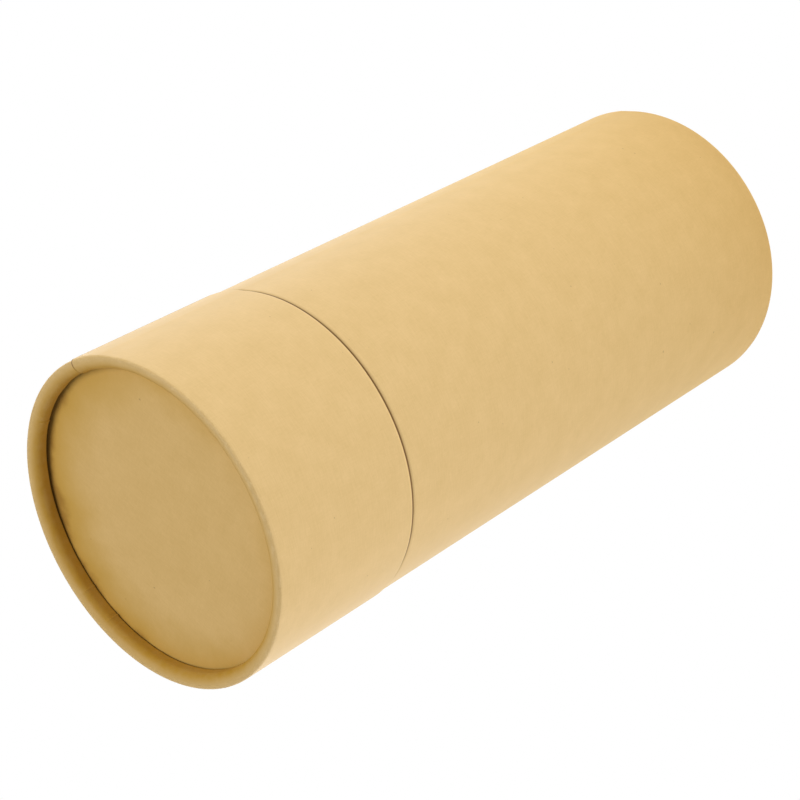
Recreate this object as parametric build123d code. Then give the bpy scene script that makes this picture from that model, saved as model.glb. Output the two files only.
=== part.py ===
from build123d import *
import os
from math import acos, cos, degrees, radians, sin

# Drawing tube of wound board with a push-on cap. The tube stands on its base rim with its
# axis on +Z, and the origin is the centre of the base rim's flat. All sizes are millimetres.

# Overall sizes
cap_diameter = 100.0     # outside of the cap, over its wrapping paper
overall_length = 244.0   # base rim to cap rim with the cap on
cap_height = 54.4        # cap rim to cap mouth

# Walls and papers
cap_board = 1.7          # wound board of the cap
body_board = 1.8         # wound board of the body
neck_board = 1.5         # wound board of the inner tube that makes the neck
disc_board = 2.0         # punched board of the end discs
wrap_paper = 0.2         # kraft wrapper outside the body and the cap
cover_paper = 0.15       # paper over the neck
lining_paper = 0.15      # paper inside the bores and on both faces of the discs

# Rolled rims: the board turns in through half a circle and stops just off the disc
rim_reach = 4.6          # rim crown to the tip of the turned-in board
tip_gap = 0.6            # tip of the turned-in board to the disc
rim_edge = 0.8           # rounding of the rim's outer edge
rim_flat = 0.6           # width of the flat that is pressed on the crown
fold_gap = 0.4           # air inside the fold
crease_radius = 0.12     # inside corners of the fold
disc_play = 0.05         # disc edge to the bore it is dropped into

# Neck
neck_edge = 0.4          # rounding of the neck's mouth
lip_depth = 12.0         # how far the cover paper is tucked into the neck's mouth

# Fits
slip_gap = 0.3           # radial clearance of the cap on the neck
seat_gap = 0.4           # cap mouth to body shoulder
neck_end_gap = 3.0       # neck mouth to the lining of the cap's disc

# Lap seam of the wrapping papers, in line on the body and the cap
lap_width = 12.0         # width of the overlap
lap_middle = 135.0       # direction of the seam from +X, in degrees
lap_root = 0.1           # how deep the overlap is rooted in the paper under it

# Radii that follow
cap_radius = cap_diameter / 2
cap_board_radius = cap_radius - wrap_paper
cap_board_bore = cap_board_radius - cap_board
cap_bore = cap_board_bore - lining_paper
neck_radius = cap_bore - slip_gap
neck_board_radius = neck_radius - cover_paper
neck_board_bore = neck_board_radius - neck_board
tube_bore = neck_board_bore - lining_paper
body_board_radius = neck_radius + body_board
body_radius = body_board_radius + wrap_paper

# Heights that follow
rim_recess = rim_reach + tip_gap
disc_stack = lining_paper + disc_board + lining_paper
floor_height = rim_recess + disc_stack
shoulder_height = overall_length - cap_height - seat_gap
neck_top = overall_length - floor_height - neck_end_gap


def rim_width(board):
    """Width of a rolled rim, over its wrapping paper."""
    return 2 * (board + wrap_paper) + fold_gap


def rim_roll(board):
    """Rounding of a rolled rim from its flat to its turned-in leg, over its wrapping paper."""
    return rim_width(board) - rim_edge - rim_flat


def folded_line(outer, inner, crown, edge, roll, mouth, tip):
    """The line of a wall that comes down to a crown, turns in over it and goes back up."""
    edge_middle = (outer - edge, crown + edge)
    roll_middle = (inner + roll, crown + roll)
    return [
        Line((outer, mouth), (outer, crown + edge)),
        CenterArc(edge_middle, edge, 0, -90),
        Line((outer - edge, crown), (inner + roll, crown)),
        CenterArc(roll_middle, roll, -90, -90),
        Line((inner, crown + roll), (inner, tip)),
    ]


def turned_between(outside, inside):
    """The solid of revolution between two folded lines that share a mouth and a tip height."""
    at_mouth = Line(outside[0] @ 0, inside[0] @ 0)
    at_tip = Line(outside[-1] @ 1, inside[-1] @ 1)
    section = make_face(Wire([*outside, at_tip, *inside, at_mouth]))
    return revolve(Plane.XZ * section, Axis.Z)


def rolled_board(radius, board, mouth):
    """A wound tube standing on its rolled end, with the rim's crown over the wrap at height 0."""
    bore = radius - board
    leg_outer = bore - fold_gap
    leg_inner = leg_outer - board
    edge = rim_edge - wrap_paper
    roll = rim_roll(board) - wrap_paper
    outside = folded_line(radius, leg_inner, wrap_paper, edge, roll, mouth, rim_reach)
    fold = wrap_paper + board
    crease = folded_line(bore, leg_outer, fold, crease_radius, crease_radius, mouth, rim_reach)
    return turned_between(outside, crease)


def rolled_wrap(radius, board, mouth):
    """The wrapping paper of a rolled tube, turned in over its rim with the board."""
    inner = radius - rim_width(board)
    roll = rim_roll(board)
    outside = folded_line(radius, inner, 0, rim_edge, roll, mouth, rim_reach)
    inside = folded_line(
        radius - wrap_paper,
        inner + wrap_paper,
        wrap_paper,
        rim_edge - wrap_paper,
        roll - wrap_paper,
        mouth,
        rim_reach,
    )
    return turned_between(outside, inside) + lap_seam(radius, rim_edge, mouth)


def lap_seam(radius, bottom, top):
    """The overlap of a wrapping paper: a second layer, which bridges down to the first."""
    half_angle = degrees(lap_width / 2 / radius)
    start = lap_middle - half_angle
    end = lap_middle + half_angle
    raised = radius + wrap_paper
    rooted = radius - lap_root
    bridge = degrees(acos(radius / raised))

    def at(length, angle):
        return (length * cos(radians(angle)), length * sin(radians(angle)))

    outline = Wire([
        Line(at(rooted, start - bridge), at(raised, start)),
        CenterArc((0, 0), raised, start, end - start),
        Line(at(raised, end), at(rooted, end)),
        CenterArc((0, 0), rooted, end, start - bridge - end),
    ])
    return extrude(Pos(0, 0, bottom) * make_face(outline), top - bottom)


def ring(outer, inner, bottom, top):
    """A plain tube between two heights."""
    section = Pos((outer + inner) / 2, (top + bottom) / 2) * Rectangle(outer - inner, top - bottom)
    return revolve(Plane.XZ * section, Axis.Z)


def disc(bore, bottom, thickness):
    """A punched disc that drops into a bore."""
    base = Pos(0, 0, bottom) * Circle(bore - disc_play)
    return extrude(base, thickness)


def upside_down(solid, top):
    """Turns a solid that stands on height 0 over, so that it hangs from the given height."""
    return Pos(0, 0, top) * mirror(solid, Plane.XY)


# The body: a rolled tube and its papers, standing on the rim
def body_tube():
    return rolled_board(body_board_radius, body_board, shoulder_height)


def body_wrap():
    return rolled_wrap(body_radius, body_board, shoulder_height)


# The base disc, between the rolled rim below and the inner tube above
def base_disc_facing():
    return disc(neck_radius, rim_recess, lining_paper)


def base_disc():
    return disc(neck_radius, rim_recess + lining_paper, disc_board)


def base_disc_lining():
    return disc(neck_radius, rim_recess + lining_paper + disc_board, lining_paper)


# The inner tube: it stands on the base disc and comes out of the body as the neck
def neck_tube():
    height = neck_top - cover_paper
    body = ring(neck_board_radius, neck_board_bore, floor_height, height)
    return fillet(body.edges().group_by(Axis.Z)[-1], neck_edge)


def neck_cover():
    corner = neck_edge + cover_paper
    outer = neck_radius
    inner = tube_bore - cover_paper
    length = neck_top - floor_height
    outside = folded_line(outer, inner, 0, corner, corner, length, lip_depth)
    inside = folded_line(
        neck_board_radius, tube_bore, cover_paper, neck_edge, neck_edge, length, lip_depth
    )
    return upside_down(turned_between(outside, inside), neck_top)


def tube_lining():
    top = neck_top - cover_paper - neck_edge
    return ring(neck_board_bore, tube_bore, floor_height, top)


# The cap: a short rolled tube and its papers, hanging from its rim
def cap_tube():
    return upside_down(rolled_board(cap_board_radius, cap_board, cap_height), overall_length)


def cap_wrap():
    turned_wrap = rolled_wrap(cap_radius, cap_board, cap_height)
    return upside_down(turned_wrap, overall_length)


def cap_lining():
    return ring(
        cap_board_bore, cap_bore, overall_length - cap_height, overall_length - floor_height
    )


def cap_disc_facing():
    return upside_down(disc(cap_board_bore, rim_recess, lining_paper), overall_length)


def cap_disc():
    board = disc(cap_board_bore, rim_recess + lining_paper, disc_board)
    return upside_down(board, overall_length)


def cap_disc_lining():
    paper = disc(cap_board_bore, rim_recess + lining_paper + disc_board, lining_paper)
    return upside_down(paper, overall_length)


pieces = [
    body_tube,
    body_wrap,
    base_disc_facing,
    base_disc,
    base_disc_lining,
    neck_tube,
    neck_cover,
    tube_lining,
    cap_tube,
    cap_wrap,
    cap_lining,
    cap_disc_facing,
    cap_disc,
    cap_disc_lining,
]

os.makedirs("parts", exist_ok=True)
for piece in pieces:
    export_step(piece(), f"parts/{piece.__name__}.step")
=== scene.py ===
from math import acos, atan2, cos, exp, pi, radians, sin
from random import Random

import bmesh
import bpy
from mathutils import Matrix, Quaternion, Vector, noise


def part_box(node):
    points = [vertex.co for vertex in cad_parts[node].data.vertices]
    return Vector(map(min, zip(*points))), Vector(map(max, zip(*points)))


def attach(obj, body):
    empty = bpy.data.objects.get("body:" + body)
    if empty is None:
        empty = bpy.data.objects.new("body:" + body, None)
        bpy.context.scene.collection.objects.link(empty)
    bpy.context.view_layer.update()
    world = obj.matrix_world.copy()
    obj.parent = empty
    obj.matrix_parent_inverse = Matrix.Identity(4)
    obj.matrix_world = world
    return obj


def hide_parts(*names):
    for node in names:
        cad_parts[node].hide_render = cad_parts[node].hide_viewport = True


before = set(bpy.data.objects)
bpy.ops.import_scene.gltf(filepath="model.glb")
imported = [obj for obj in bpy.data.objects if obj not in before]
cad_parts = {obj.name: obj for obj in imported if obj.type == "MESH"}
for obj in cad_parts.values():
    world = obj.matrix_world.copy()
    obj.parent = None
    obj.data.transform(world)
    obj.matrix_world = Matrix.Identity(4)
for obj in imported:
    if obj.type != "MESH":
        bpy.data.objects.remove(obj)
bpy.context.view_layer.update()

scene = bpy.context.scene
mm = 0.001


# ---- Studio --------------------------------------------------------------------------------
# A white tent for small goods: the tube stands on a glowing table under a dimmer dome, and soft
# boxes brighten two of its sides. The camera looks down on it, rolled over onto its side.

camera_turn = radians(59.6)
camera_reach = 487.9 * mm
camera_height = 580.5 * mm
aim_height = 139.2 * mm
aim_side = -3.6 * mm
camera_roll = radians(-119.23)
camera_lens = 96.1
white = (1.0, 1.0, 1.0, 1.0)


def round_from_camera(turn, reach, height):
    """A place at a turn from the camera's direction, a reach from the axis and a height."""
    angle = camera_turn + radians(turn)
    return Vector((cos(angle) * reach, sin(angle) * reach, height))


def add_node(tree, kind, settings=None, **inputs):
    """Adds a shader node; each input is a plain value, or the socket that feeds it."""
    node = tree.nodes.new(kind)
    for name, value in (settings or {}).items():
        setattr(node, name, value)
    for name, value in inputs.items():
        feed(tree, node.inputs[name.replace("_", " ")], value)
    return node


def feed(tree, socket, value):
    """Sets a socket to a plain value, or links it to the socket that feeds it."""
    if isinstance(value, bpy.types.NodeSocket):
        tree.links.new(value, socket)
    else:
        socket.default_value = value


def mix_colour(tree, share, first, second):
    """A blend of two colours."""
    node = tree.nodes.new("ShaderNodeMix")
    node.data_type = "RGBA"
    feed(tree, node.inputs[0], share)
    feed(tree, node.inputs[6], first)
    feed(tree, node.inputs[7], second)
    return node.outputs[2]


def mix_shader(tree, share, first, second):
    """A blend of two shaders; gives the socket of the result."""
    node = add_node(tree, "ShaderNodeMixShader", Fac=share)
    tree.links.new(first, node.inputs[1])
    tree.links.new(second, node.inputs[2])
    return node.outputs["Shader"]


to_camera = Vector((cos(camera_turn), sin(camera_turn), 0.0))
beside_camera = Vector((-sin(camera_turn), cos(camera_turn), 0.0))
camera_place = to_camera * camera_reach + Vector((0.0, 0.0, camera_height))
aim = beside_camera * aim_side + Vector((0.0, 0.0, aim_height))

lens = bpy.data.cameras.new("camera")
lens.lens = camera_lens
camera = bpy.data.objects.new("camera", lens)
camera.location = camera_place
camera.rotation_mode = "QUATERNION"
upright = (aim - camera_place).to_track_quat("-Z", "Y")
camera.rotation_quaternion = upright @ Quaternion((0.0, 0.0, 1.0), camera_roll)
scene.collection.objects.link(camera)
scene.camera = camera
scene.view_settings.view_transform = "Standard"

# The dome lights the tube softly, and the camera sees it as plain white.
dome_strength = 0.30
dome = bpy.data.worlds.new("dome")
dome.use_nodes = True
scene.world = dome
tree = dome.node_tree
dome_light = tree.nodes["Background"].outputs["Background"]
feed(tree, tree.nodes["Background"].inputs["Color"], white)
feed(tree, tree.nodes["Background"].inputs["Strength"], dome_strength)
dome_seen = add_node(tree, "ShaderNodeBackground", Color=white).outputs["Background"]
seen = add_node(tree, "ShaderNodeLightPath").outputs["Is Camera Ray"]
feed(tree, tree.nodes["World Output"].inputs["Surface"], mix_shader(tree, seen, dome_light, dome_seen))

# The table glows less where the tube shades it, and warmer close to the tube, as light comes back
# from the paper. The camera sees it as plain white too, and from below it is clear.
table_size = 8.0
table_drop = 0.3 * mm
dimmest = round_from_camera(turn=-100.0, reach=0.16, height=0.0)
glow_at_dimmest = 0.95
glow_further = 1.76
glow_spread = 0.30
warm = (1.0, 0.90, 0.67, 1.0)
warm_to = 0.07
white_from = 0.22

glow = bpy.data.materials.new("glowing_table")
glow.use_nodes = True
tree = glow.node_tree
tree.nodes.clear()
surface = add_node(tree, "ShaderNodeNewGeometry").outputs
from_dimmest = add_node(tree, "ShaderNodeVectorMath", {"operation": "DISTANCE"})
feed(tree, from_dimmest.inputs[0], surface["Position"])
feed(tree, from_dimmest.inputs[1], dimmest)
strength = add_node(
    tree, "ShaderNodeMapRange", Value=from_dimmest.outputs["Value"],
    From_Max=glow_spread, To_Min=glow_at_dimmest, To_Max=glow_further,
)
from_axis = add_node(tree, "ShaderNodeVectorMath", {"operation": "LENGTH"})
feed(tree, from_axis.inputs[0], surface["Position"])
whiter = add_node(
    tree, "ShaderNodeMapRange", Value=from_axis.outputs["Value"], From_Min=warm_to, From_Max=white_from
)
tint = mix_colour(tree, whiter.outputs["Result"], warm, white)
lit = add_node(tree, "ShaderNodeEmission", Color=tint, Strength=strength.outputs["Result"])
plain = add_node(tree, "ShaderNodeEmission", Color=white)
clear = add_node(tree, "ShaderNodeBsdfTransparent")
seen = add_node(tree, "ShaderNodeLightPath").outputs["Is Camera Ray"]
above = mix_shader(tree, seen, lit.outputs["Emission"], plain.outputs["Emission"])
either_side = mix_shader(tree, surface["Backfacing"], above, clear.outputs["BSDF"])
feed(tree, add_node(tree, "ShaderNodeOutputMaterial").inputs["Surface"], either_side)

table_top = bmesh.new()
bmesh.ops.create_grid(table_top, x_segments=1, y_segments=1, size=table_size / 2)
bmesh.ops.translate(table_top, verts=table_top.verts, vec=(0.0, 0.0, -table_drop))
table_mesh = bpy.data.meshes.new("table")
table_top.to_mesh(table_mesh)
table_top.free()
table_mesh.materials.append(glow)
table = bpy.data.objects.new("table", table_mesh)
scene.collection.objects.link(table)


def soft_box(name, place, size, radiance):
    """A square soft light of even brightness that faces the middle of the tube."""
    light = bpy.data.lights.new(name, "AREA")
    light.shape = "SQUARE"
    light.size = size
    light.energy = radiance * pi * size * size
    lamp = bpy.data.objects.new(name, light)
    lamp.location = place
    lamp.rotation_mode = "QUATERNION"
    lamp.rotation_quaternion = (aim - place).to_track_quat("-Z", "Y")
    lamp.visible_camera = False
    scene.collection.objects.link(lamp)


soft_box("key_box", round_from_camera(turn=92.0, reach=0.4, height=1.4), size=0.7, radiance=5.0)
soft_box("low_side_box", round_from_camera(turn=-125.0, reach=0.9, height=0.25), size=0.8, radiance=1.0)


# ---- Wound board tubes ---------------------------------------------------------------------
# The body and the cap are tubes of brown board, wound from plies that are glued one over the
# other. One end of each is sawn square, and the other is rolled in through half a circle.

ply_thickness = 0.42 * mm
wrap_paper = 0.2 * mm
disc_play = 0.05 * mm
fold_gap = 0.4 * mm
rim_edge = 0.8 * mm
rim_flat = 0.6 * mm
rim_reach = 4.6 * mm
crease_radius = 0.12 * mm
mouth_edge = 0.32 * mm
bend_steps = 10
board_turns = 240
board_step = 30.0 * mm
fold_limit = radians(35.0)
middle = Vector((0.0, 0.0, 0.0))
up = Vector((0.0, 0.0, 1.0))


def radius_of(node):
    """The outer radius of a round part."""
    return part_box(node)[1].x


def draw_outline(corners, closed):
    """Starts a mesh with a section of the part: its corners, as radius and height, joined in order."""
    shape = bmesh.new()
    dots = [shape.verts.new((radius, 0.0, height)) for radius, height in corners]
    for near, far in zip(dots, dots[1:]):
        shape.edges.new((near, far))
    if closed:
        shape.edges.new((dots[-1], dots[0]))
    return shape, dots


def round_off(shape, dot, size, segments):
    """Rounds one corner of a section."""
    bmesh.ops.bevel(
        shape, geom=[dot], offset=size, affect="VERTICES", segments=segments, profile=0.5, material=-1
    )


def divide_long(shape, longest):
    """Cuts the long straight lines of a section into even lengths."""
    for edge in list(shape.edges):
        cuts = int(edge.calc_length() / longest)
        if cuts:
            bmesh.ops.subdivide_edges(shape, edges=[edge], cuts=cuts)


def spin_round(shape, turn, steps):
    """Spins a section through a turn about the tube's axis; a whole turn is joined up."""
    bmesh.ops.spin(
        shape,
        geom=shape.verts[:] + shape.edges[:],
        cent=middle,
        axis=up,
        angle=turn,
        steps=steps,
        use_merge=turn == 2 * pi,
    )


def turn_out(shape):
    """Makes the faces of a tube point away from its axis on its outside."""
    bmesh.ops.recalc_face_normals(shape, faces=shape.faces)
    outside = max(shape.faces, key=lambda face: face.calc_center_median().xy.length)
    if outside.normal.xy.dot(outside.calc_center_median().xy) < 0.0:
        bmesh.ops.reverse_faces(shape, faces=shape.faces)
    shape.normal_update()


def make_piece(shape, name, material):
    """Makes a finished mesh an object, smooth but for its cut edges and sharp folds."""
    for face in shape.faces:
        face.smooth = True
    for edge in shape.edges:
        edge.smooth = edge.calc_face_angle(0.0) < fold_limit
    mesh = bpy.data.meshes.new(name)
    shape.to_mesh(mesh)
    shape.free()
    mesh.materials.append(material)
    piece = bpy.data.objects.new(name, mesh)
    scene.collection.objects.link(piece)
    return piece


def direction(place):
    """The direction of a place round the tube, from +X."""
    return atan2(place.y, place.x)


def hump(turn, peak, width, height):
    """A soft rise that is highest in one direction round the tube."""
    apart = (turn - peak + pi) % (2 * pi) - pi
    return height * exp(-((apart / width) ** 2))


def cap_edge_lift(turn):
    """How much less deep than usual the cap's rolled-in edge reaches, round its rim."""
    return (
        hump(turn, radians(176.0), radians(34.0), 0.75 * mm)
        + hump(turn, radians(262.0), radians(40.0), -0.3 * mm)
        + hump(turn, radians(20.0), radians(50.0), 0.2 * mm)
    )


def body_edge_lift(turn):
    """The same for the body, whose rim was rolled more evenly."""
    return (
        hump(turn, radians(75.0), radians(45.0), 0.35 * mm)
        + hump(turn, radians(230.0), radians(30.0), -0.25 * mm)
    )


def lift_edge(shape, inside, bend, edge, edge_lift):
    """Draws the rolled-in leg back towards the crown: not at its bend, and in full at its edge."""
    for vert in shape.verts:
        if vert.co.xy.length < inside:
            share = min(max((vert.co.z - bend) / (edge - bend), 0.0), 1.0)
            vert.co.z += share * edge_lift(direction(vert.co)) * (1.0 if bend > edge else -1.0)


def roll_board(radius, board, mouth, crown, edge_lift):
    """A wound tube with one square end and one rolled end."""
    outward = 1.0 if crown > mouth else -1.0
    bore = radius - board
    leg = bore - fold_gap
    roll = 2 * (board + wrap_paper) + fold_gap - rim_edge - rim_flat - wrap_paper
    edge = crown + outward * (wrap_paper - rim_reach)
    fold = crown - outward * board
    section, dots = draw_outline(
        [
            (radius, mouth),
            (radius, crown),
            (leg - board, crown),
            (leg - board, edge),
            (leg, edge),
            (leg, fold),
            (bore, fold),
            (bore, mouth),
        ],
        closed=True,
    )
    round_off(section, dots[0], mouth_edge, 3)
    round_off(section, dots[1], rim_edge - wrap_paper, 4)
    round_off(section, dots[2], roll, bend_steps)
    for dot in dots[5:7]:
        round_off(section, dot, crease_radius, 2)
    divide_long(section, board_step)
    spin_round(section, 2 * pi, board_turns)
    turn_out(section)
    lift_edge(section, bore - fold_gap / 2, crown - outward * roll, edge, edge_lift)
    return section


def maths(tree, operation, *values):
    """One step of arithmetic on numbers; gives the socket of its result."""
    node = tree.nodes.new("ShaderNodeMath")
    node.operation = operation
    for socket, value in zip(node.inputs, values):
        feed(tree, socket, value)
    return node.outputs["Value"]


def stretch(tree, place, across, along, up_scale):
    """Scales a place, so that a pattern that reads it is drawn out along its smaller scale."""
    node = add_node(tree, "ShaderNodeVectorMath", {"operation": "MULTIPLY"})
    feed(tree, node.inputs[0], place)
    node.inputs[1].default_value = (across, along, up_scale)
    return node.outputs["Vector"]


def noise_of(tree, place, scale, detail, rough=0.55):
    """A cloudy pattern between 0 and 1."""
    node = add_node(
        tree, "ShaderNodeTexNoise", Vector=place, Scale=scale, Detail=detail, Roughness=rough
    )
    return node.outputs["Fac"]


def ramp_between(tree, value, low, high):
    """0 below the low value and 1 above the high one, with a smooth change between them."""
    node = add_node(
        tree, "ShaderNodeMapRange", {"interpolation_type": "SMOOTHSTEP"},
        Value=value, From_Min=low, From_Max=high,
    )
    return node.outputs["Result"]


def open_group(name, inputs, outputs):
    """Starts a shader node group: its tree, its inputs and its output node."""
    tree = bpy.data.node_groups.new(name, "ShaderNodeTree")
    for label, kind in inputs:
        tree.interface.new_socket(label, in_out="INPUT", socket_type=kind)
    for label, kind in outputs:
        tree.interface.new_socket(label, in_out="OUTPUT", socket_type=kind)
    given = tree.nodes.new("NodeGroupInput").outputs
    return tree, given, tree.nodes.new("NodeGroupOutput")


def use_group(tree, group, **inputs):
    """Places a node group in a material."""
    node = tree.nodes.new("ShaderNodeGroup")
    node.node_tree = group
    for name, value in inputs.items():
        feed(tree, node.inputs[name], value)
    return node.outputs


def new_material(name, sheen):
    """A plain material to build on, with its tree and its shader."""
    material = bpy.data.materials.new(name)
    material.use_nodes = True
    shader = material.node_tree.nodes["Principled BSDF"]
    shader.inputs["Specular IOR Level"].default_value = sheen
    return material, material.node_tree, shader


def cover(tree, shader, colour, roughness, height, depth):
    """Gives a material its colour and roughness, and raises it by a pattern of heights from 0 to 1."""
    bump = add_node(tree, "ShaderNodeBump", Height=height, Distance=depth, Strength=1.0)
    feed(tree, shader.inputs["Base Color"], colour)
    feed(tree, shader.inputs["Roughness"], roughness)
    feed(tree, shader.inputs["Normal"], bump.outputs["Normal"])


def coat(name, material):
    """Gives a material to a part that is shown as the CAD model has it."""
    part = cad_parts[name]
    part.data.materials.clear()
    part.data.materials.append(material)


# Wood fibres: clouds where the pulp lay thicker, crossing fibres, and dark and pale flecks.
fibres, given, put = open_group(
    "fibres",
    [
        ("Place", "NodeSocketVector"),
        ("Pale", "NodeSocketColor"),
        ("Dark", "NodeSocketColor"),
        ("Fleck", "NodeSocketColor"),
        ("Clouds", "NodeSocketFloat"),
        ("Strands", "NodeSocketFloat"),
        ("Flecks", "NodeSocketFloat"),
    ],
    [("Colour", "NodeSocketColor"), ("Height", "NodeSocketFloat"), ("Roughness", "NodeSocketFloat")],
)
clouds = noise_of(fibres, given["Place"], 110.0, 3.0)
grain = noise_of(fibres, given["Place"], 1500.0, 3.0, 0.65)
long_strands = noise_of(fibres, stretch(fibres, given["Place"], 260.0, 2400.0, 700.0), 1.0, 3.0)
cross_strands = noise_of(fibres, stretch(fibres, given["Place"], 2100.0, 330.0, 700.0), 1.0, 2.0)
long_share = maths(fibres, "MULTIPLY", long_strands, 0.5)
strands = maths(fibres, "ADD", long_share, maths(fibres, "MULTIPLY", cross_strands, 0.3))
texture = maths(fibres, "ADD", strands, maths(fibres, "MULTIPLY", grain, 0.2))
from_clouds = maths(fibres, "MULTIPLY", maths(fibres, "SUBTRACT", clouds, 0.5), given["Clouds"])
from_strands = maths(fibres, "MULTIPLY", maths(fibres, "SUBTRACT", texture, 0.5), given["Strands"])
tone = maths(fibres, "ADD", 0.5, maths(fibres, "ADD", from_clouds, from_strands))
plain = mix_colour(fibres, tone, given["Dark"], given["Pale"])
fleck_place = stretch(fibres, given["Place"], 230.0, 340.0, 280.0)
cells = add_node(fibres, "ShaderNodeTexVoronoi", Vector=fleck_place, Scale=1.0)
cell_pick = add_node(fibres, "ShaderNodeSeparateColor", Color=cells.outputs["Color"])
fleck_size = maths(fibres, "MULTIPLY", maths(fibres, "POWER", cell_pick.outputs["Red"], 6.0), 0.11)
fleck_here = maths(fibres, "SUBTRACT", fleck_size, cells.outputs["Distance"])
fleck_mask = ramp_between(fibres, fleck_here, 0.0, 0.02)
fleck_share = maths(fibres, "MULTIPLY", fleck_mask, given["Flecks"])
flecked = mix_colour(fibres, fleck_share, plain, given["Fleck"])
feed(fibres, put.inputs["Colour"], flecked)
feed(fibres, put.inputs["Height"], texture)
rougher = maths(fibres, "MULTIPLY", maths(fibres, "SUBTRACT", texture, 0.5), 0.35)
feed(fibres, put.inputs["Roughness"], maths(fibres, "ADD", 0.5, rougher))

# Plies: rings of board, parted by thin darker lines of glue, seen where the board is cut.
plies, given, put = open_group(
    "plies",
    [("Place", "NodeSocketVector"), ("Thickness", "NodeSocketFloat")],
    [("Ply", "NodeSocketFloat"), ("Glue", "NodeSocketFloat")],
)
flat_place = stretch(plies, given["Place"], 1.0, 1.0, 0.0)
distance = add_node(plies, "ShaderNodeVectorMath", {"operation": "LENGTH"})
feed(plies, distance.inputs[0], flat_place)
waver = maths(plies, "MULTIPLY", noise_of(plies, given["Place"], 300.0, 2.0), 0.25)
layer = maths(plies, "ADD", maths(plies, "DIVIDE", distance.outputs["Value"], given["Thickness"]), waver)
through = maths(plies, "FRACT", layer)
edge_near = maths(plies, "ABSOLUTE", maths(plies, "SUBTRACT", through, 0.5))
feed(plies, put.inputs["Glue"], ramp_between(plies, edge_near, 0.36, 0.48))
ply_number = maths(plies, "FLOOR", layer)
shade = add_node(plies, "ShaderNodeTexWhiteNoise", {"noise_dimensions": "1D"}, W=ply_number)
feed(plies, put.inputs["Ply"], shade.outputs["Value"])

wound_board, tree, shader = new_material("wound_board", sheen=0.1)
place = add_node(tree, "ShaderNodeTexCoord").outputs["Object"]
pulp = use_group(
    tree, fibres, Place=place, Pale=(0.48, 0.32, 0.165, 1.0), Dark=(0.32, 0.205, 0.10, 1.0),
    Fleck=(0.12, 0.075, 0.035, 1.0), Clouds=0.5, Strands=1.6, Flecks=0.8,
)
rings = use_group(tree, plies, Place=place, Thickness=ply_thickness)
ply_share = maths(tree, "MULTIPLY", rings["Ply"], 0.35)
ringed = mix_colour(tree, ply_share, pulp["Colour"], (0.25, 0.16, 0.085, 1.0))
glued = mix_colour(tree, maths(tree, "MULTIPLY", rings["Glue"], 0.55), ringed, (0.16, 0.09, 0.04, 1.0))
normal = add_node(tree, "ShaderNodeNewGeometry").outputs["Normal"]
facing = add_node(tree, "ShaderNodeSeparateXYZ", Vector=normal)
sawn = ramp_between(tree, maths(tree, "ABSOLUTE", facing.outputs["Z"]), 0.4, 0.9)
scorched = mix_colour(tree, maths(tree, "MULTIPLY", sawn, 0.7), glued, (0.13, 0.05, 0.012, 1.0))
height = maths(tree, "SUBTRACT", pulp["Height"], maths(tree, "MULTIPLY", rings["Glue"], 0.8))
cover(tree, shader, scorched, 0.8, height, 0.06 * mm)

body_board = radius_of("body_tube") - radius_of("neck_cover")
body_low, body_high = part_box("body_tube")
body_shape = roll_board(radius_of("body_tube"), body_board, body_high.z, body_low.z, body_edge_lift)
body_tube = make_piece(body_shape, "body_wound_board", wound_board)
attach(body_tube, "tube")
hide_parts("body_tube")

cap_board = radius_of("cap_tube") - radius_of("cap_disc") - disc_play
cap_low, cap_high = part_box("cap_tube")
cap_shape = roll_board(radius_of("cap_tube"), cap_board, cap_low.z, cap_high.z, cap_edge_lift)
cap_tube = make_piece(cap_shape, "cap_wound_board", wound_board)
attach(cap_tube, "cap")
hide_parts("cap_tube")

coat("neck_tube", wound_board)


# ---- Kraft wrappers --------------------------------------------------------------------------
# Each tube is covered by one sheet of smooth brown kraft paper, glued on so that it laps over
# its own start, and turned in over the rolled rim with the board, where it gathers in tucks.

lap_width = 12.0 * mm
lap_middle = radians(135.0)
cap_lap_curl = 0.30 * mm
body_lap_curl = 0.08 * mm
lap_curl_width = 0.9 * mm
mouth_turn_in = 0.30 * mm
mouth_turn_width = 0.6 * mm
wall_hold = 0.8 * mm
wrapper_spokes = 83
wrapper_cuts = 9
sheet_step = 16.0 * mm
short_line = 1.0 * mm
leg_cuts = 4
curl_on_wall = 0.25
surface_wave = 0.03 * mm
wave_round = 22.0 * mm
wave_along = 35.0 * mm
leg_wave = 0.10 * mm
leg_waves_round = 9.0
leg_wave_along = 4.0 * mm


def tuck(turn, edge, width, height):
    """A gathered fold: it stands up at its edge and runs out smoothly on one side."""
    apart = (turn - edge + pi) % (2 * pi) - pi
    return height * exp(-apart / width) if apart >= 0.0 else 0.0


def even_step(value, low, high):
    """0 below the low value and 1 above the high one, with a smooth change between them."""
    share = min(max((value - low) / (high - low), 0.0), 1.0)
    return share * share * (3.0 - 2.0 * share)


def note_lengths(start, layer):
    """Writes along a section how far each of its vertices is from its start, over the surface."""
    vert, last, length = start, None, 0.0
    while vert is not None:
        vert[layer] = (0.0, length, vert.co.x)
        onward = [edge for edge in vert.link_edges if edge != last]
        if not onward:
            return
        last = onward[0]
        length += last.calc_length()
        vert = last.other_vert(vert)


def cut_near(shape, radius, height, reaches):
    """Cuts the straight line that starts at a place in a section, at reaches from that place."""
    place = Vector((radius, 0.0, height))
    for reach in reaches:
        end = min(shape.verts, key=lambda vert: (vert.co - place).length)
        line = max(end.link_edges, key=lambda edge: edge.calc_length())
        bmesh.utils.edge_split(line, end, reach / line.calc_length())


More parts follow.
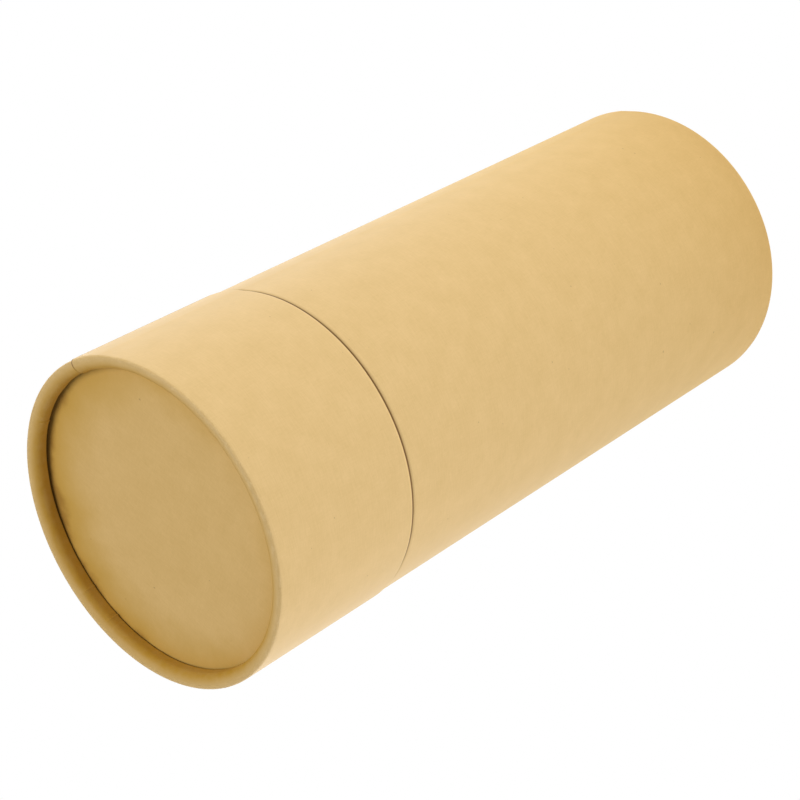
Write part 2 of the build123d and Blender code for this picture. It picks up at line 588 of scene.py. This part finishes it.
def spread_round(shape, layer, sweep, spokes, cuts):
    """Numbers each spoke of a spun sheet by its turn, and cuts the spaces between spokes finer."""
    across = len(shape.verts) // (spokes + 1)
    for index, vert in enumerate(shape.verts):
        vert[layer].x = sweep * (index // across) / spokes
    round_edges = [
        edge for edge in shape.edges if edge.verts[0][layer].x != edge.verts[1][layer].x
    ]
    bmesh.ops.subdivide_edges(shape, edges=round_edges, cuts=cuts)


def wind_sheet(section, layer, radius, start, sweep, spokes, cuts):
    """Winds a section round the tube, and notes each vertex's place on the sheet as it was cut.

    The layer holds how far along and across the flat sheet a vertex is, and its reach to the edge.
    """
    spin_round(section, sweep, spokes)
    spread_round(section, layer, sweep, spokes, cuts)
    turn_out(section)
    length = max(vert[layer].y for vert in section.verts)
    for vert in section.verts:
        around, along, reach = vert[layer]
        turn = start + around
        vert.co.x = reach * cos(turn)
        vert.co.y = reach * sin(turn)
        to_edge = min(along, length - along, around * radius, (sweep - around) * radius)
        vert[layer] = (turn * radius, along, to_edge)
    section.normal_update()


def wrapper_section(radius, inner, mouth, crown, edge, roll):
    """The line of a wrapper from its mouth, over its rim, to the edge that is turned in."""
    outward = 1.0 if crown > mouth else -1.0
    section, dots = draw_outline(
        [(radius, mouth), (radius, crown), (inner, crown), (inner, edge)], closed=False
    )
    round_off(section, dots[1], rim_edge, 5)
    round_off(section, dots[2], roll, bend_steps)
    cut_near(section, radius, mouth, [2 * mouth_turn_width, mouth_turn_width, mouth_turn_width / 2])
    cut_near(section, radius, crown - outward * rim_edge, [wall_hold])
    divide_long(section, sheet_step)
    for line in list(section.edges):
        on_leg = all(vert.co.x < inner + wrap_paper / 2 for vert in line.verts)
        if on_leg and line.calc_length() > short_line:
            bmesh.ops.subdivide_edges(section, edges=[line], cuts=leg_cuts)
    return section


def unevenness(turn, along, radius, turned_in, tucks):
    """How far the glued paper stands out: slow waves, and the ripples and tucks of its rim.

    The radius stands in as a third number, so that no two wrappers have the same waves.
    """
    wall_spot = Vector((turn * radius / wave_round, along / wave_along, radius * 90.0))
    leg_spot = Vector((turn * leg_waves_round, along / leg_wave_along, radius * 50.0))
    rise = surface_wave * noise.noise(wall_spot)
    rise += leg_wave * turned_in * noise.noise(leg_spot)
    return rise + turned_in * sum(tuck(turn, *fold) for fold in tucks)


def wrap_sheet(radius, mouth, crown, board, edge_lift, tucks, lap_curl):
    """The wrapper of one tube, wound on so that it laps over its own start."""
    outward = 1.0 if crown > mouth else -1.0
    width = 2 * (board + wrap_paper) + fold_gap
    roll = width - rim_edge - rim_flat
    inner = radius - width
    edge = crown - outward * rim_reach
    section = wrapper_section(radius, inner, mouth, crown, edge, roll)
    layer = section.verts.layers.float_vector.new("sheet")
    inner_rim_shade = section.verts.layers.float.new("inner_rim_shade")
    rubbed = section.verts.layers.float.new("rubbed")
    mouth_place = Vector((radius, 0.0, mouth))
    note_lengths(min(section.verts, key=lambda vert: (vert.co - mouth_place).length), layer)
    half_lap = lap_width / 2 / radius
    start = lap_middle - half_lap
    sweep = 2 * pi + 2 * half_lap
    wind_sheet(section, layer, radius, start, sweep, wrapper_spokes, wrapper_cuts)

    over_crown = abs(crown - mouth) - rim_edge
    into_roll = over_crown + rim_edge * pi / 2 + rim_flat
    onto_leg = into_roll + roll * pi / 2
    bridge = acos(radius / (radius + wrap_paper))
    climb = start + 2 * pi - bridge
    curl_start = start + sweep - lap_curl_width / radius
    for vert in section.verts:
        turn = vert[layer].x / radius
        along = vert[layer].y
        turned_in = even_step(along, into_roll, onto_leg)
        on_rim = even_step(along, over_crown, into_roll)
        # Painted shade: the rolled-in side of the rim, from the crown's top onto the leg where it turns
        # into the recess, is marked to be painted darker and deeper orange.
        vert[inner_rim_shade] = even_step(along, over_crown + rim_edge, into_roll + roll)
        # The crown's outer rounding is marked as rubbed. It is painted paler, partly as wear and partly
        # as a painted highlight where the rounding catches the light.
        vert[rubbed] = even_step(along, over_crown, over_crown + rim_edge / 2)
        vert[rubbed] -= even_step(along, over_crown + rim_edge, into_roll + rim_flat)
        rise = unevenness(turn, along, radius, turned_in, tucks)
        if turn > climb:
            rise += min(radius / cos(min(turn - climb, bridge)) - radius, wrap_paper)
        rise -= mouth_turn_in * (1.0 - even_step(along, 0.0, mouth_turn_width))
        if turn > curl_start:
            curled = (turn - curl_start) / (start + sweep - curl_start)
            rise += lap_curl * curled * (curl_on_wall + (1.0 - curl_on_wall) * on_rim)
        vert.co += vert.normal * rise
    lift_edge(section, inner + board, crown - outward * roll, edge, edge_lift)
    bmesh.ops.solidify(section, geom=section.faces[:], thickness=wrap_paper)
    return section


tuck_picks = Random(11)


def loose_tucks(count):
    """Small tucks scattered round a rim."""
    return [
        (
            tuck_picks.uniform(0.0, 2 * pi),
            radians(tuck_picks.uniform(0.4, 1.6)),
            tuck_picks.uniform(0.02, 0.05) * mm,
        )
        for _ in range(count)
    ]


cap_tucks = [
    (radians(degrees_round), radians(width), height * mm)
    for degrees_round, width, height in [
        (176.0, 0.5, 0.26),
        (177.3, 0.5, 0.15),
        (179.0, 0.6, 0.28),
        (184.6, 1.5, 0.09),
        (249.1, 0.5, 0.30),
        (261.1, 0.5, 0.26),
        (263.2, 0.5, 0.30),
        (266.4, 0.8, 0.24),
        (284.6, 0.6, 0.09),
        (286.6, 0.8, 0.11),
    ]
] + loose_tucks(26)

# Sheet edges: painted shade along every edge of a sheet, a fraction of a millimetre wide. It stands for
# the shadow in the joint gap, the lap's crack and the crevice under the leg, over the raw edge's own
# darker tone.
edge_shade, given, put = open_group(
    "edge_shade",
    [
        ("Sheet", "NodeSocketVector"),
        ("Face", "NodeSocketColor"),
        ("Edge", "NodeSocketColor"),
        ("Width", "NodeSocketFloat"),
        ("Share", "NodeSocketFloat"),
    ],
    [("Colour", "NodeSocketColor")],
)
to_edge = add_node(edge_shade, "ShaderNodeSeparateXYZ", Vector=given["Sheet"]).outputs["Z"]
edge_shade_band = ramp_between(edge_shade, to_edge, given["Width"], 0.05 * mm)
edge_shade_share = maths(edge_shade, "MULTIPLY", edge_shade_band, given["Share"])
feed(edge_shade, put.inputs["Colour"], mix_colour(edge_shade, edge_shade_share, given["Face"], given["Edge"]))

kraft_wrap, tree, shader = new_material("kraft_wrap", sheen=0.3)
sheet_place = add_node(tree, "ShaderNodeAttribute", {"attribute_name": "sheet"}).outputs["Vector"]
flat_place = stretch(tree, sheet_place, 1.0, 1.0, 0.0)
pulp = use_group(
    tree, fibres, Place=flat_place, Pale=(0.805, 0.56, 0.25, 1.0), Dark=(0.66, 0.44, 0.16, 1.0),
    Fleck=(0.40, 0.235, 0.09, 1.0), Clouds=0.6, Strands=1.3, Flecks=0.55,
)
# Painted shade along the wrapper's edges: its mouth, the lap's free edge and the leg's tip.
edge_shaded = use_group(
    tree, edge_shade, Sheet=sheet_place, Face=pulp["Colour"], Edge=(0.19, 0.08, 0.018, 1.0),
    Width=0.50 * mm, Share=0.9,
)
# Painted shade over the rolled-in side of the rim: darker and deeper orange, broken up by blotches.
inner_rim_shade_here = add_node(tree, "ShaderNodeAttribute", {"attribute_name": "inner_rim_shade"}).outputs["Fac"]
blotches = ramp_between(tree, noise_of(tree, sheet_place, 260.0, 3.0), 0.15, 0.75)
blotched = maths(tree, "ADD", 0.72, maths(tree, "MULTIPLY", blotches, 0.28))
inner_rim_shade_share = maths(tree, "MULTIPLY", inner_rim_shade_here, blotched)
darkened = mix_colour(tree, inner_rim_shade_share, edge_shaded["Colour"], (0.58, 0.325, 0.035, 1.0))
# The rubbed band on the crown's outer rounding is paler and scuffed: partly wear, partly a painted
# highlight.
rubbed = add_node(tree, "ShaderNodeAttribute", {"attribute_name": "rubbed"}).outputs["Fac"]
scuff_place = stretch(tree, sheet_place, 420.0, 900.0, 0.0)
scuffs = ramp_between(tree, noise_of(tree, scuff_place, 1.0, 4.0, 0.7), 0.46, 0.66)
wear_and_highlight_mask = maths(tree, "MULTIPLY", rubbed, scuffs)
worn_and_highlighted = mix_colour(tree, maths(tree, "MULTIPLY", wear_and_highlight_mask, 0.32), darkened, (0.88, 0.665, 0.35, 1.0))
roughness = maths(tree, "ADD", pulp["Roughness"], maths(tree, "MULTIPLY", wear_and_highlight_mask, 0.25))
height = maths(tree, "ADD", pulp["Height"], maths(tree, "MULTIPLY", wear_and_highlight_mask, 1.2))
cover(tree, shader, worn_and_highlighted, roughness, height, 0.03 * mm)

wrap_low, wrap_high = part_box("body_wrap")
body_shape = wrap_sheet(
    radius_of("body_wrap"), wrap_high.z, wrap_low.z, body_board, body_edge_lift, loose_tucks(36),
    body_lap_curl,
)
body_wrap = make_piece(body_shape, "body_kraft_wrapper", kraft_wrap)
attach(body_wrap, "tube")
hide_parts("body_wrap")

wrap_low, wrap_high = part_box("cap_wrap")
cap_shape = wrap_sheet(
    radius_of("cap_wrap"), wrap_low.z, wrap_high.z, cap_board, cap_edge_lift, cap_tucks, cap_lap_curl
)
cap_wrap = make_piece(cap_shape, "cap_kraft_wrapper", kraft_wrap)
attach(cap_wrap, "cap")
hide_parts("cap_wrap")


# ---- End discs -------------------------------------------------------------------------------
# A disc of solid board closes each end behind its rolled rim. It is faced outside with kraft
# paper, and inside with the same paper that lines the tube.

disc_rings = 26
disc_turns = 144
disc_wave = 0.10 * mm
disc_wave_length = 16.0 * mm
disc_ripple_length = 6.0 * mm
# Painted shade on the disc's facing: a darker, more orange ring toward the rim, set off centre toward
# the side the rim shades. Nearest the rim sits a dark painted shadow of the crevice under the rolled-in
# leg.
rim_shade_middle = Vector((4.5 * mm, 3.2 * mm, 0.0))
rim_shade_waver = 14.0 * mm
rim_shade_from = 30.0 * mm
crevice_shadow_from = 47.5 * mm
rim_shade_to = 52.0 * mm


def face_disc(radius, outer, inner):
    """The round of paper on a disc, its outer face a little uneven from the glue."""
    shape = draw_outline(
        [(0.0, outer), (radius, outer), (radius, inner), (0.0, inner)], closed=False
    )[0]
    divide_long(shape, radius / disc_rings)
    spin_round(shape, 2 * pi, disc_turns)
    bmesh.ops.remove_doubles(shape, verts=shape.verts, dist=0.001 * mm)
    bmesh.ops.recalc_face_normals(shape, faces=shape.faces)
    inward = 1.0 if inner > outer else -1.0
    for vert in shape.verts:
        if abs(vert.co.z - outer) < 0.01 * mm:
            wave = noise.noise(vert.co / disc_wave_length)
            wave += 0.5 * noise.noise(vert.co / disc_ripple_length)
            vert.co.z += inward * disc_wave * (0.5 + 0.33 * wave)
    return shape


facing_paper, tree, shader = new_material("facing_paper", sheen=0.15)
place = add_node(tree, "ShaderNodeTexCoord").outputs["Object"]
pulp = use_group(
    tree, fibres, Place=place, Pale=(0.83, 0.565, 0.235, 1.0), Dark=(0.68, 0.44, 0.15, 1.0),
    Fleck=(0.40, 0.235, 0.09, 1.0), Clouds=0.5, Strands=1.2, Flecks=0.55,
)
off_middle = add_node(tree, "ShaderNodeVectorMath", {"operation": "ADD"})
feed(tree, off_middle.inputs[0], stretch(tree, place, 1.0, 1.0, 0.0))
off_middle.inputs[1].default_value = -rim_shade_middle
from_middle = add_node(tree, "ShaderNodeVectorMath", {"operation": "LENGTH"})
feed(tree, from_middle.inputs[0], off_middle.outputs["Vector"])
spread = maths(tree, "SUBTRACT", noise_of(tree, place, 70.0, 4.0), 0.5)
uneven = maths(tree, "MULTIPLY", spread, rim_shade_waver)
rim_shade_reach = maths(tree, "ADD", from_middle.outputs["Value"], uneven)
# Painted shade toward the rim, then the crevice's painted shadow nearest it.
rim_shade_ring = ramp_between(tree, rim_shade_reach, rim_shade_from, rim_shade_to)
rim_shade_share = maths(tree, "MULTIPLY", rim_shade_ring, 0.9)
darkened = mix_colour(tree, rim_shade_share, pulp["Colour"], (0.60, 0.355, 0.06, 1.0))
crevice_shadow_ring = ramp_between(tree, rim_shade_reach, crevice_shadow_from, rim_shade_to)
crevice_shadow_share = maths(tree, "MULTIPLY", crevice_shadow_ring, 0.6)
rim_and_crevice_shaded = mix_colour(tree, crevice_shadow_share, darkened, (0.27, 0.115, 0.02, 1.0))
cover(tree, shader, rim_and_crevice_shaded, pulp["Roughness"], pulp["Height"], 0.03 * mm)

facing_low, facing_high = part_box("cap_disc_facing")
cap_shape = face_disc(radius_of("cap_disc_facing"), facing_high.z, facing_low.z)
cap_facing = make_piece(cap_shape, "cap_disc_kraft_facing", facing_paper)
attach(cap_facing, "cap")
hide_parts("cap_disc_facing")

facing_low, facing_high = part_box("base_disc_facing")
base_shape = face_disc(radius_of("base_disc_facing"), facing_low.z, facing_high.z)
base_facing = make_piece(base_shape, "base_disc_kraft_facing", facing_paper)
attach(base_facing, "tube")
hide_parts("base_disc_facing")

disc_board, tree, shader = new_material("disc_board", sheen=0.1)
place = add_node(tree, "ShaderNodeTexCoord").outputs["Object"]
pulp = use_group(
    tree, fibres, Place=place, Pale=(0.42, 0.33, 0.22, 1.0), Dark=(0.27, 0.21, 0.14, 1.0),
    Fleck=(0.10, 0.08, 0.06, 1.0), Clouds=0.7, Strands=1.8, Flecks=0.9,
)
cover(tree, shader, pulp["Colour"], pulp["Roughness"], pulp["Height"], 0.08 * mm)
coat("base_disc", disc_board)
coat("cap_disc", disc_board)


# ---- Linings -----------------------------------------------------------------------------------
# The bores are lined with one strip of paler paper, wound as a helix with its edges butted, and
# the inner faces of the discs have a round of the same paper.

lining_pitch = 96.0 * mm
lining_butt = 0.35 * mm
lining_thickness = 0.15 * mm
lining_turn = radians(2.0)
lining_step = 12.0 * mm


def wind_lining(outer, inner, bottom, top):
    """A strip of lining wound up a bore and trimmed at both ends."""
    height = lining_pitch - lining_butt
    wound = (top - bottom + lining_pitch) / lining_pitch * 2 * pi
    shape = draw_outline(
        [
            (inner, bottom - lining_pitch),
            (outer, bottom - lining_pitch),
            (outer, bottom - lining_pitch + height),
            (inner, bottom - lining_pitch + height),
        ],
        closed=True,
    )[0]
    divide_long(shape, lining_step)
    steps = round(wound / lining_turn)
    bmesh.ops.spin(
        shape,
        geom=shape.verts[:] + shape.edges[:],
        cent=middle,
        axis=up,
        dvec=up * (lining_pitch * wound / (2 * pi) / steps),
        angle=wound,
        steps=steps,
    )
    bmesh.ops.holes_fill(shape, edges=[edge for edge in shape.edges if edge.is_boundary])
    for height_cut, keep in [(bottom, -1.0), (top, 1.0)]:
        bmesh.ops.bisect_plane(
            shape,
            geom=shape.verts[:] + shape.edges[:] + shape.faces[:],
            plane_co=(0.0, 0.0, height_cut),
            plane_no=(0.0, 0.0, keep),
            clear_outer=True,
        )
        rim = [edge for edge in shape.edges if edge.is_boundary]
        bmesh.ops.holes_fill(shape, edges=rim)
    bmesh.ops.recalc_face_normals(shape, faces=shape.faces)
    return shape


lining_paper, tree, shader = new_material("lining_paper", sheen=0.2)
place = add_node(tree, "ShaderNodeTexCoord").outputs["Object"]
pulp = use_group(
    tree, fibres, Place=place, Pale=(0.62, 0.47, 0.28, 1.0), Dark=(0.47, 0.34, 0.18, 1.0),
    Fleck=(0.22, 0.13, 0.06, 1.0), Clouds=0.8, Strands=1.6, Flecks=0.8,
)
cover(tree, shader, pulp["Colour"], pulp["Roughness"], pulp["Height"], 0.05 * mm)

low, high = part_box("tube_lining")
neck_bore = radius_of("tube_lining")
tube_shape = wind_lining(neck_bore, neck_bore - lining_thickness, low.z, high.z)
tube_lining = make_piece(tube_shape, "tube_wound_lining", lining_paper)
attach(tube_lining, "tube")
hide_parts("tube_lining")

low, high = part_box("cap_lining")
cap_bore = radius_of("cap_lining")
cap_shape = wind_lining(cap_bore, cap_bore - lining_thickness, low.z, high.z)
cap_lining = make_piece(cap_shape, "cap_wound_lining", lining_paper)
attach(cap_lining, "cap")
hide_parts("cap_lining")

coat("base_disc_lining", lining_paper)
coat("cap_disc_lining", lining_paper)


# ---- Neck cover ----------------------------------------------------------------------------------
# The inner tube stands out of the body as the neck. Its cover of kraft paper laps at the back,
# and its end is tucked into the mouth, where it gathers in small pleats.

neck_lap_width = 8.0 * mm
neck_lap_middle = radians(300.0)
neck_edge = 0.4 * mm
lip_depth = 12.0 * mm
cover_paper = 0.15 * mm
neck_spokes = 80
neck_cuts = 5
pleats_from_end = 3.0 * mm
climb_turn = 0.01
pleat_picks = Random(23)
pleats = [
    (
        pleat_picks.uniform(0.0, 2 * pi),
        radians(pleat_picks.uniform(0.6, 1.8)),
        pleat_picks.uniform(0.04, 0.12) * mm,
    )
    for _ in range(30)
]


def cover_neck(radius, bottom, top, bore):
    """The cover of the neck, from its foot over the neck's end to the lip inside the mouth."""
    section, dots = draw_outline(
        [(radius, bottom), (radius, top), (bore, top), (bore, top - lip_depth)], closed=False
    )
    for dot in dots[1:3]:
        round_off(section, dot, neck_edge, 4)
    for wall in [radius, bore]:
        cut_near(section, wall, top - neck_edge, [wall_hold])
    divide_long(section, sheet_step)
    layer = section.verts.layers.float_vector.new("sheet")
    foot = Vector((radius, 0.0, bottom))
    note_lengths(min(section.verts, key=lambda vert: (vert.co - foot).length), layer)
    half_lap = neck_lap_width / 2 / radius
    start = neck_lap_middle - half_lap
    wind_sheet(section, layer, radius, start, 2 * pi + 2 * half_lap, neck_spokes, neck_cuts)
    over_end = top - bottom
    climb = start + 2 * pi - 2 * cover_paper / radius
    for vert in section.verts:
        turn = vert[layer].x / radius
        along = vert[layer].y
        in_mouth = even_step(along, over_end, over_end + pleats_from_end)
        rise = in_mouth * sum(tuck(turn, *fold) for fold in pleats)
        rise += cover_paper * even_step(turn, climb - climb_turn, climb)
        vert.co += vert.normal * rise
    bmesh.ops.solidify(section, geom=section.faces[:], thickness=cover_paper)
    return section


neck_paper, tree, shader = new_material("neck_paper", sheen=0.3)
sheet_place = add_node(tree, "ShaderNodeAttribute", {"attribute_name": "sheet"}).outputs["Vector"]
flat_place = stretch(tree, sheet_place, 1.0, 1.0, 0.0)
pulp = use_group(
    tree, fibres, Place=flat_place, Pale=(0.80, 0.53, 0.23, 1.0), Dark=(0.64, 0.40, 0.14, 1.0),
    Fleck=(0.38, 0.22, 0.085, 1.0), Clouds=0.5, Strands=1.3, Flecks=0.6,
)
# Painted shade along the cover's edges: its foot, its lap and its lip.
edge_shaded = use_group(
    tree, edge_shade, Sheet=sheet_place, Face=pulp["Colour"], Edge=(0.23, 0.125, 0.05, 1.0),
    Width=0.30 * mm, Share=0.8,
)
rubs = noise_of(tree, stretch(tree, sheet_place, 900.0, 30.0, 0.0), 1.0, 4.0, 0.6)
patches = ramp_between(tree, noise_of(tree, sheet_place, 45.0, 2.0), 0.45, 0.65)
rubbed = maths(tree, "MULTIPLY", ramp_between(tree, rubs, 0.55, 0.70), patches)
rubbed_share = maths(tree, "MULTIPLY", rubbed, 0.35)
scuffed = mix_colour(tree, rubbed_share, edge_shaded["Colour"], (0.86, 0.66, 0.38, 1.0))
roughness = maths(tree, "ADD", pulp["Roughness"], maths(tree, "MULTIPLY", rubbed, 0.2))
cover(tree, shader, scuffed, roughness, pulp["Height"], 0.03 * mm)

cover_low, cover_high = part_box("neck_cover")
neck_shape = cover_neck(
    radius_of("neck_cover"), cover_low.z, cover_high.z, neck_bore - lining_thickness - cover_paper
)
neck_cover = make_piece(neck_shape, "neck_kraft_cover", neck_paper)
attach(neck_cover, "tube")
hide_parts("neck_cover")
